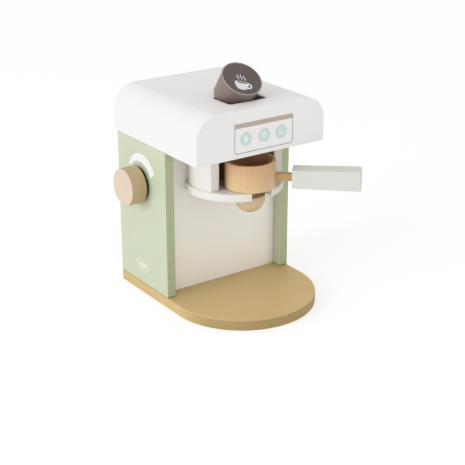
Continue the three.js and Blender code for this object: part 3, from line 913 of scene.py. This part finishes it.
def handle_block():
    """The grip: a block that is a little higher at its far end, whose edges there are rounder."""
    side = GRIP_WIDTH / 2
    far_height = grip_high.z - grip_low.z
    shape = bmesh.new()
    ends = []
    for along, height in ((GRIP_START, GRIP_NEAR_HEIGHT), (GRIP_START + GRIP_LENGTH, far_height)):
        corners = rectangle(-side, side, ROD_RISE - height / 2, ROD_RISE + height / 2)
        ends.append([shape.verts.new((along, across, up)) for across, up in corners])
    for end in ends:
        shape.faces.new(end)
    joined(shape, ends)
    grip = from_bmesh("handle_block", shape)
    weights = grip.data.attributes.new("bevel_weight_edge", "FLOAT", "EDGE")
    for edge in grip.data.edges:
        far_ends = sum(grip.data.vertices[end].co.x > GRIP_START + MM for end in edge.vertices)
        weights.data[edge.index].value = GRIP_SHARES[far_ends]
    bevel = grip.modifiers.new("rounded", "BEVEL")
    bevel.limit_method = "WEIGHT"
    bevel.width = GRIP_EDGE
    bevel.segments = STEPS + 1
    apply_modifiers(grip)
    grip.data.transform(handle_place)
    carve(grip, rod_cutter(GRIP_START - OVERRUN, GRIP_START + GRIP_SEAT + GLUE_GAP))
    dress(grip, "filter_holder", grey_paint, "grey_paint", "handle_grip")


def spout():
    place = Matrix.Translation((*cup_centre, ball_low.z))
    radius = (ball_high.x - ball_low.x) / 2
    top = ball_high.z - ball_low.z
    seat = neck_radius + GLUE_GAP
    seat_floor = neck_low.z - GLUE_GAP - ball_low.z
    cap = degrees(asin((top - radius) / radius))
    side = arc((0, radius), radius, -90, cap, BALL_STEPS)
    shoulder = rounded_profile([side[-2], side[-1], (seat, top)], BALL_EDGE)
    profile = [(0, side[0][1]), *side[1:-2], *shoulder, (seat, seat_floor), (0, seat_floor)]
    ball = turned("spout_half_ball", profile, place)
    tones = colour(217, 196, 161), colour(194, 166, 127)
    ball_wood = wood("spout_beech", *tones, place, pith=(22.0, 4.0), contrast=0.7)
    dress(ball, "spout", ball_wood, "beech_wood", "spout_ball")
    low, high = neck_low.z - ball_low.z, neck_high.z - ball_low.z
    profile = rounded_profile(rectangle(0, neck_radius, low, high), FINE_EDGE)
    dowel = turned("spout_dowel", profile, place, PEG_STEPS)
    dress(dowel, "spout", ball_wood, "beech_wood", "spout_neck")


# Knob

def knob():
    middle = (knob_low + knob_high) / 2
    outward = Matrix.Rotation(-pi / 2, 4, "Y")
    place = Matrix.Translation((knob_high.x, middle.y, middle.z)) @ outward
    radius = (knob_high.y - knob_low.y) / 2
    thick = knob_high.x - knob_low.x
    seat_floor = knob_high.x - axle_low.x + GLUE_GAP
    rim = rounded_profile([(axle_hole, 0), (radius, 0), (radius, thick), (0, thick)], KNOB_EDGE)
    wheel = turned("knob_wheel", [(0, seat_floor), (axle_hole, seat_floor), *rim], place)
    # painted shade: the knob's rim, turned away from the key light, is darker than its face
    mark(wheel.data, "stain", lambda vertex: sideways(vertex, 0))
    tones = colour(217, 197, 180), colour(197, 170, 141)
    knob_wood = wood("knob_beech", *tones, place, ring_width=3.6, pith=(34.0, 10.0), contrast=0.5,
                     painted_shade_tone=colour(188, 164, 120))
    dress(wheel, "knob", knob_wood, "beech_wood", "knob_disc")
    edge = (washer_high.y - washer_low.y) / 2
    near, far = knob_high.x - washer_high.x, knob_high.x - washer_low.x
    ring = closed_profile(rectangle(axle_hole, edge, near, far), WASHER_EDGE)
    felt = turned("knob_felt", ring, place, PEG_STEPS)
    dress(felt, "knob", washer_rubber, "black_rubber", "knob_washer")


# Capsule

def points_of(node):
    return np.array([vertex.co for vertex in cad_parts[node].data.vertices])


def capsule_place():
    """The capsule's frame, Z from its foot along its axis and X across the machine, and its height."""
    lid = np.unique(points_of("capsule_lid").round(7), axis=0)
    centre = (lid.min(0) + lid.max(0)) / 2
    spread = np.linalg.svd(lid - lid.mean(0), full_matrices=False)[2]
    axis = Vector(spread[2] * np.sign(spread[2][2]))
    heights = (points_of("capsule_body") - centre) @ np.array(axis)
    foot = Vector(centre) + axis * heights.min()
    across = Vector((1, 0, 0))
    return surface(foot, across, axis.cross(across), axis), heights.max() - heights.min()


capsule_frame, capsule_height = capsule_place()

POT_FOOT = 19.4 * MM
POT_WAIST = 20.0 * MM
POT_RIM = 20.5 * MM
LID_SEAT = 18.9 * MM
RIM_LOW = capsule_height - 1.6 * MM
RIM_TOP = capsule_height - 0.7 * MM
LID_FLOOR = capsule_height - 1.0 * MM
LID_TOP = capsule_height + GLUE_GAP
FOOT_EDGE = 1.0 * MM
POT_EDGE = 0.2 * MM
LID_EDGE = 0.25 * MM
BAND_EDGE = 0.35 * MM


def capsule():
    foot = rounded_profile([(0, 0), (POT_FOOT, 0), (POT_WAIST, RIM_LOW)], FOOT_EDGE)[:-1]
    corners = [(POT_WAIST, RIM_LOW), (POT_RIM, RIM_LOW), (POT_RIM, RIM_TOP), (LID_SEAT, RIM_TOP)]
    rim = rounded_profile([*corners, (LID_SEAT, LID_FLOOR)], POT_EDGE)
    pot = turned("capsule_pot", [*foot, *rim, (0, LID_FLOOR)], capsule_frame)
    dress(pot, "capsule", capsule_paint, "capsule_paint", "capsule_body")
    section = rectangle(0, LID_SEAT - GLUE_GAP, LID_FLOOR + GLUE_GAP, LID_TOP)
    disc = rounded_profile(section, LID_EDGE)
    dress(turned("capsule_label", disc, capsule_frame), "capsule", lid_ink, "capsule_print", "capsule_lid")
    # painted highlight: a ring of lighter ink along the capsule's rim
    ring = closed_profile(rectangle(LID_SEAT, POT_RIM, RIM_TOP, capsule_height), BAND_EDGE)
    dress(turned("capsule_rim_highlight", ring, capsule_frame), "capsule", rim_highlight_ink, "capsule_paint")


# Prints: outlines in millimetres, in thin layers of ink, each a little higher than the one under it

OVAL_STEPS = 96
SMALL_OVAL_STEPS = 48
SCALE_STEPS = 64
BUTTON_STEPS = 60
RING_STEPS = 32
CURVE_STEPS = 24
LEAF_STEPS = 16
CORNER_STEPS = 12
BAR_STEPS = 10
BOWL_POWER = 0.7  # the lower, the fuller the bowl
MARK_PLACE = (50.3 * MM, 30.6 * MM)


def printed(name, outline, place, layer, material, body, slot):
    """An outline laid on the surface whose frame place gives."""
    points = [(across * MM, up * MM) for across, up in outline]
    film = slab(name, points, [(-INK, 0), (layer * INK, 0)])
    film.data.transform(place)
    dress(film, body, material, slot)


def band(centre, outer, inner, start, end):
    """Part of a ring."""
    return [*arc(centre, outer, start, end, RING_STEPS), *arc(centre, inner, end, start, RING_STEPS)]


def drop(x, y, size):
    """A water drop, point up."""
    sink, radius = 0.25 * size, 0.62 * size
    return [*arc((x, y - sink), radius, 150, 390, RING_STEPS), (x, y + size)]


def leaf(x, y, size):
    """A leaf on a short stem."""
    stem, radius, offset, rise, foot = (share * size for share in (0.09, 1.15, 0.55, 0.1, 1.25))
    gap = 4  # degrees that each side stops short, to meet the stem
    half = degrees(acos(offset / radius))
    right = arc((x - offset, y + rise), radius, gap - half, half, LEAF_STEPS)
    left = arc((x + offset, y + rise), radius, 180 - half, 180 + half - gap, LEAF_STEPS)
    return [(x - stem, y - foot), (x + stem, y - foot), *right, *left]


def bowl(x, y, width, depth):
    """A cup's outline without its handle: a flat rim and a rounded bowl."""
    half = arc((0, 0), 1, 180, 360, CURVE_STEPS)
    return [(x + width * copysign(abs(side) ** BOWL_POWER, side), y + depth * up) for side, up in half]


def wisp(x, y, height, swing, width):
    """A strand of steam, thin at both ends."""
    end_share = 0.15
    shares = [step / CURVE_STEPS for step in range(CURVE_STEPS + 1)]
    spine = [(x + swing * sin(tau * share), y + height * share) for share in shares]
    half = [width / 2 * (end_share + sin(pi * share)) for share in shares]
    right = [(across + reach, up) for (across, up), reach in zip(spine, half)]
    left = [(across - reach, up) for (across, up), reach in zip(spine, half)]
    return right + left[::-1]


def bar(half, height):
    """A short bar with round ends."""
    return [*arc((half, 0), height, -90, 90, BAR_STEPS), *arc((-half, 0), height, 90, 270, BAR_STEPS)]


def oval(x, y, across, up, steps=OVAL_STEPS):
    turns = [tau * step / steps for step in range(steps)]
    return [(x + across * cos(turn), y + up * sin(turn)) for turn in turns]


def control_print():
    """The panel of three picture buttons on the head's front."""
    place = surface((0, plate_low.y, plate_low.z), (1, 0, 0), (0, 0, 1), (0, -1, 0))
    left, right, low, high = -32.3, 36.3, 4.7, 34.1
    band_low, line, corner, tuck = 29.5, 1.1, 3, 0.1
    middles = {"water": (-19, 18.4), "leaf": (2, 18.4), "cup": (22, 18.4)}
    button, drop_size, leaf_size, vein = 6.85, 4.2, 3.6, 0.22
    cup_width, cup_depth, handle_outer, handle_inner = 2.9, 3.2, 1.5, 0.85
    steam_height, steam_swing, steam_width = 3.0, 0.4, 0.8

    def film(name, outline, layer, material):
        printed(name, outline, place, layer, material, "machine", "warm_white_paint")

    def sheet(margin, top):
        radius = corner - margin
        lower_left = arc((left + corner, low + corner), radius, 180, 270, CORNER_STEPS)
        lower_right = arc((right - corner, low + corner), radius, 270, 360, CORNER_STEPS)
        return [*lower_left, *lower_right, (right - margin, top), (left + margin, top)]

    film("control_line", sheet(0, band_low + 2 * tuck), 1, line_ink)
    film("control_field", sheet(line, band_low + tuck), 2, field_ink)
    film("control_band", rectangle(left, right, band_low, high), 3, band_ink)
    for name, middle in middles.items():
        film("button_" + name, oval(*middle, button, button, BUTTON_STEPS), 3, disc_ink)
    film("glyph_drop", drop(*middles["water"], drop_size), 4, glyph_ink)
    film("glyph_leaf", leaf(*middles["leaf"], leaf_size), 4, glyph_ink)
    x, y = middles["leaf"]
    film("glyph_vein", rectangle(x - vein, x + vein, y - 2.6, y + 1.8), 5, disc_ink)
    x, y = middles["cup"]
    film("glyph_cup", bowl(x - 0.5, y + 0.2, cup_width, cup_depth), 4, glyph_ink)
    film("glyph_handle", band((x + 2.3, y - 1.0), handle_outer, handle_inner, -95, 95), 5, glyph_ink)
    for number, side in enumerate((-1.9, 0.8), 1):
        steam = wisp(x + side, y + 1.1, steam_height, steam_swing, steam_width)
        film(f"glyph_steam_{number}", steam, 4, glyph_ink)


def on_left_board(y, z):
    """The frame of the left board's face at a place: X to the front and Z outwards."""
    return surface((left_low.x, y, z), (0, -1, 0), (0, 0, 1), (-1, 0, 0))


def knob_scale():
    """The white swoosh above the knob, which widens to the front as the setting rises."""
    outer_centre, outer_radius = (3.4, 6.0), 25.5
    inner_centre, inner_radius = (0.4, 0.7), 22.5
    outer = arc(outer_centre, outer_radius, 24.3, 158, SCALE_STEPS)
    inner = arc(inner_centre, inner_radius, 142, 27.6, SCALE_STEPS)
    place = on_left_board(axle_middle.y, axle_middle.z)
    printed("knob_scale", outer + inner, place, 1, scale_ink, "machine", "sage_paint")


def hoop(name, outer, inner, place, layer, material, body, slot):
    """A ring of ink between two outlines that have as many points."""
    shape = bmesh.new()
    low, high = -INK, layer * INK
    rings = []
    for points, height in ((outer, low), (outer, high), (inner, high), (inner, low)):
        rings.append([shape.verts.new((across * MM, up * MM, height)) for across, up in points])
    joined(shape, rings + rings[:1])
    shape.transform(place)
    dress(from_bmesh(name, shape), body, material, slot)


def side_mark():
    """A plain oval mark with a sprig, low on the left board."""
    look = (mark_ink, "machine", "sage_paint")
    place = on_left_board(*MARK_PLACE)
    half_width, half_height, line = 12.0, 6.9, 0.6
    leaf_size, leaf_rise, leaf_lean = 1.9, 1.75, 58
    stem_length, stem_width = 16.4, 0.7
    inner = oval(0, 0, half_width - line, half_height - line)
    hoop("mark_oval", oval(0, 0, half_width, half_height), inner, place, 1, *look)
    printed("mark_stem", bar(stem_length / 2, stem_width / 2), place, 1, *look)
    for number, along in enumerate((-3.5, 0.7, 4.9), 1):
        for side, sign in (("upper", 1), ("lower", -1)):
            turn = Matrix.Rotation(radians(-leaf_lean * sign), 2)
            points = [turn @ Vector(point) for point in leaf(0, 0, leaf_size)]
            outline = [(point.x + along, point.y + leaf_rise * sign) for point in points]
            printed(f"mark_{side}_leaf_{number}", outline, place, 2, *look)


def lid_figure():
    """A steaming cup on the capsule's lid. Widths and depths of bowls and ovals are from their middle."""
    upright = Matrix.Rotation(radians(-25), 4, "Z")
    place = capsule_frame @ Matrix.Translation((0, 0, LID_TOP)) @ upright
    x, y, cup_width, cup_depth, rim_depth = -1.0, -5.8, 7.0, 9.0, 1.4
    drink_width, drink_depth, handle_outer, handle_inner = 5.2, 0.85, 3.6, 2.0
    steam_swing, steam_width = 0.8, 1.0

    def film(name, outline, layer, material=figure_ink):
        printed(name, outline, place, layer, material, "capsule", "capsule_print")

    film("lid_cup", bowl(x, y, cup_width, cup_depth), 1)
    film("lid_cup_rim", oval(x, y, cup_width, rim_depth, SMALL_OVAL_STEPS), 3)
    drink = oval(x + 0.4, y - 0.1, drink_width, drink_depth, SMALL_OVAL_STEPS)
    film("lid_cup_drink", drink, 4, lid_ink)
    film("lid_cup_handle", band((x + 6.8, y - 3.0), handle_outer, handle_inner, -112, 100), 2)
    for number, (side, height) in enumerate(((-4.4, 6.6), (-1.0, 8.0), (2.4, 6.6)), 1):
        film(f"lid_steam_{number}", wisp(side, y + 2.8, height, steam_swing, steam_width), 1)


# Frame pieces that stay

def keep_frame_pieces():
    """Hidden wood and the pocket's walls keep their solids. The walls are birch, darkened to grey: painted
    shade inside the pocket.
    """
    upright = [*at_corners("head_dowel"), "left_tray_dowel", "right_tray_dowel"]
    plain, painted_shade_tone = (BIRCH_LIGHT, BIRCH_DARK), (POCKET_SHADE_LIGHT, POCKET_SHADE_DARK)
    finishes = {
        "birch_upright": (upright, plain, Matrix()),
        "birch_axle": (["knob_axle"], plain, along_x),
        "birch_retainer": (["knob_retainer"], plain, Matrix()),
        "pocket_birch_across": (["pocket_front_wall", "pocket_back_wall"], painted_shade_tone, along_x),
        "pocket_birch_along": (["pocket_left_wall", "pocket_right_wall"], painted_shade_tone, along_y),
    }
    for name, (nodes, tones, place) in finishes.items():
        birch = wood(name, *tones, place, roughness=0.65)
        for node in nodes:
            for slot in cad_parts[node].material_slots:
                slot.material = birch


base_board()
side_board("left_side_board", "left_side_panel")
side_board("right_side_board", "right_side_panel")
inner_board("front_board", "front_panel")
inner_board("back_board", "back_panel")
head_plate("head_front", "head_front_plate", HEAD_EDGE, 0)
head_plate("head_back", "head_back_plate", 0, HEAD_EDGE)
head_bottom()
head_shell()
tray_board()
collar_block()
filter_cup()
handle_bar()
handle_block()
spout()
knob()
capsule()
all_screws()
control_print()
knob_scale()
side_mark()
lid_figure()
keep_frame_pieces()


# Floor, light and camera

FLOOR_HALF = 6.0
FLOOR_LIT, FLOOR_SHOWN = 0.93, 1.62
SKY_LIT, SKY_SHOWN = 0.78, 1.5
TOY_MIDDLE = (0, 0, 0.11)
CAMERA_PLACE = (-0.62057, -0.88428, 0.50608)
CAMERA_TARGET = (-0.01185, -0.01931, 0.07491)
WHITE_LEVEL = 1.6
TONES = ((0.4, 0.4), (0.78, 0.78), (1.0, 0.90), (1.2, 0.955), (1.4, 1.0))  # (light, what is shown)


def stage_floor():
    """A pale floor. The camera sees it bright, and the toy gets plain white light back from it."""
    mesh = bpy.data.meshes.new("floor")
    corners = rectangle(-FLOOR_HALF, FLOOR_HALF, -FLOOR_HALF, FLOOR_HALF)
    mesh.from_pydata([(x, y, 0) for x, y in corners], [], [(0, 1, 2, 3)])
    floor = new_object("floor", mesh)
    finish = Finish("floor")
    finish.set(Roughness=0.9, Base_Color=finish.bright_to_camera(FLOOR_LIT, FLOOR_SHOWN))
    mesh.materials.append(finish.material)


def aimed(name, data, place, target):
    """A new object that looks from its place at the target."""
    thing = new_object(name, data)
    thing.location = place
    thing.rotation_euler = (Vector(target) - Vector(place)).to_track_quat("-Z", "Y").to_euler()
    return thing


def area_light(name, place, size, power, tint=(1.0, 1.0, 1.0)):
    data = bpy.data.lights.new(name, "AREA")
    data.shape = "DISK"
    data.size = size
    data.energy = power
    data.color = tint
    aimed(name, data, place, TOY_MIDDLE)


def studio():
    """An even sky, bright to the camera as the floor is, a low key on the left and a weak fill on
    the right."""
    world = bpy.data.worlds.new("studio")
    world.use_nodes = True
    sky = Nodes(world.node_tree)
    background = sky.tree.nodes["Background"].inputs["Color"]
    sky.feed(background, sky.bright_to_camera(SKY_LIT, SKY_SHOWN))
    bpy.context.scene.world = world
    area_light("key", place=(-1.76, 0.05, 0.55), size=1.4, power=17.2, tint=(0.98, 1.0, 1.08))
    area_light("fill", place=(0.9, -1.6, 0.45), size=1.2, power=3.0)


def camera():
    data = bpy.data.cameras.new("camera")
    data.sensor_width = 36.0
    data.lens = 89.34
    data.clip_start = 0.05
    bpy.context.scene.camera = aimed("camera", data, CAMERA_PLACE, CAMERA_TARGET)


def tone_curve():
    """Plain display colours with a soft shoulder, as a bright product photograph has."""
    settings = bpy.context.scene.view_settings
    settings.view_transform = "Standard"
    settings.use_curve_mapping = True
    mapping = settings.curve_mapping
    mapping.white_level = (WHITE_LEVEL,) * 3
    curve = mapping.curves[3]
    curve.points[0].location = (0, 0)
    curve.points[1].location = (1, 1)
    for light, shown in TONES:
        curve.points.new(light / WHITE_LEVEL, shown)
    mapping.update()


stage_floor()
studio()
camera()
tone_curve()
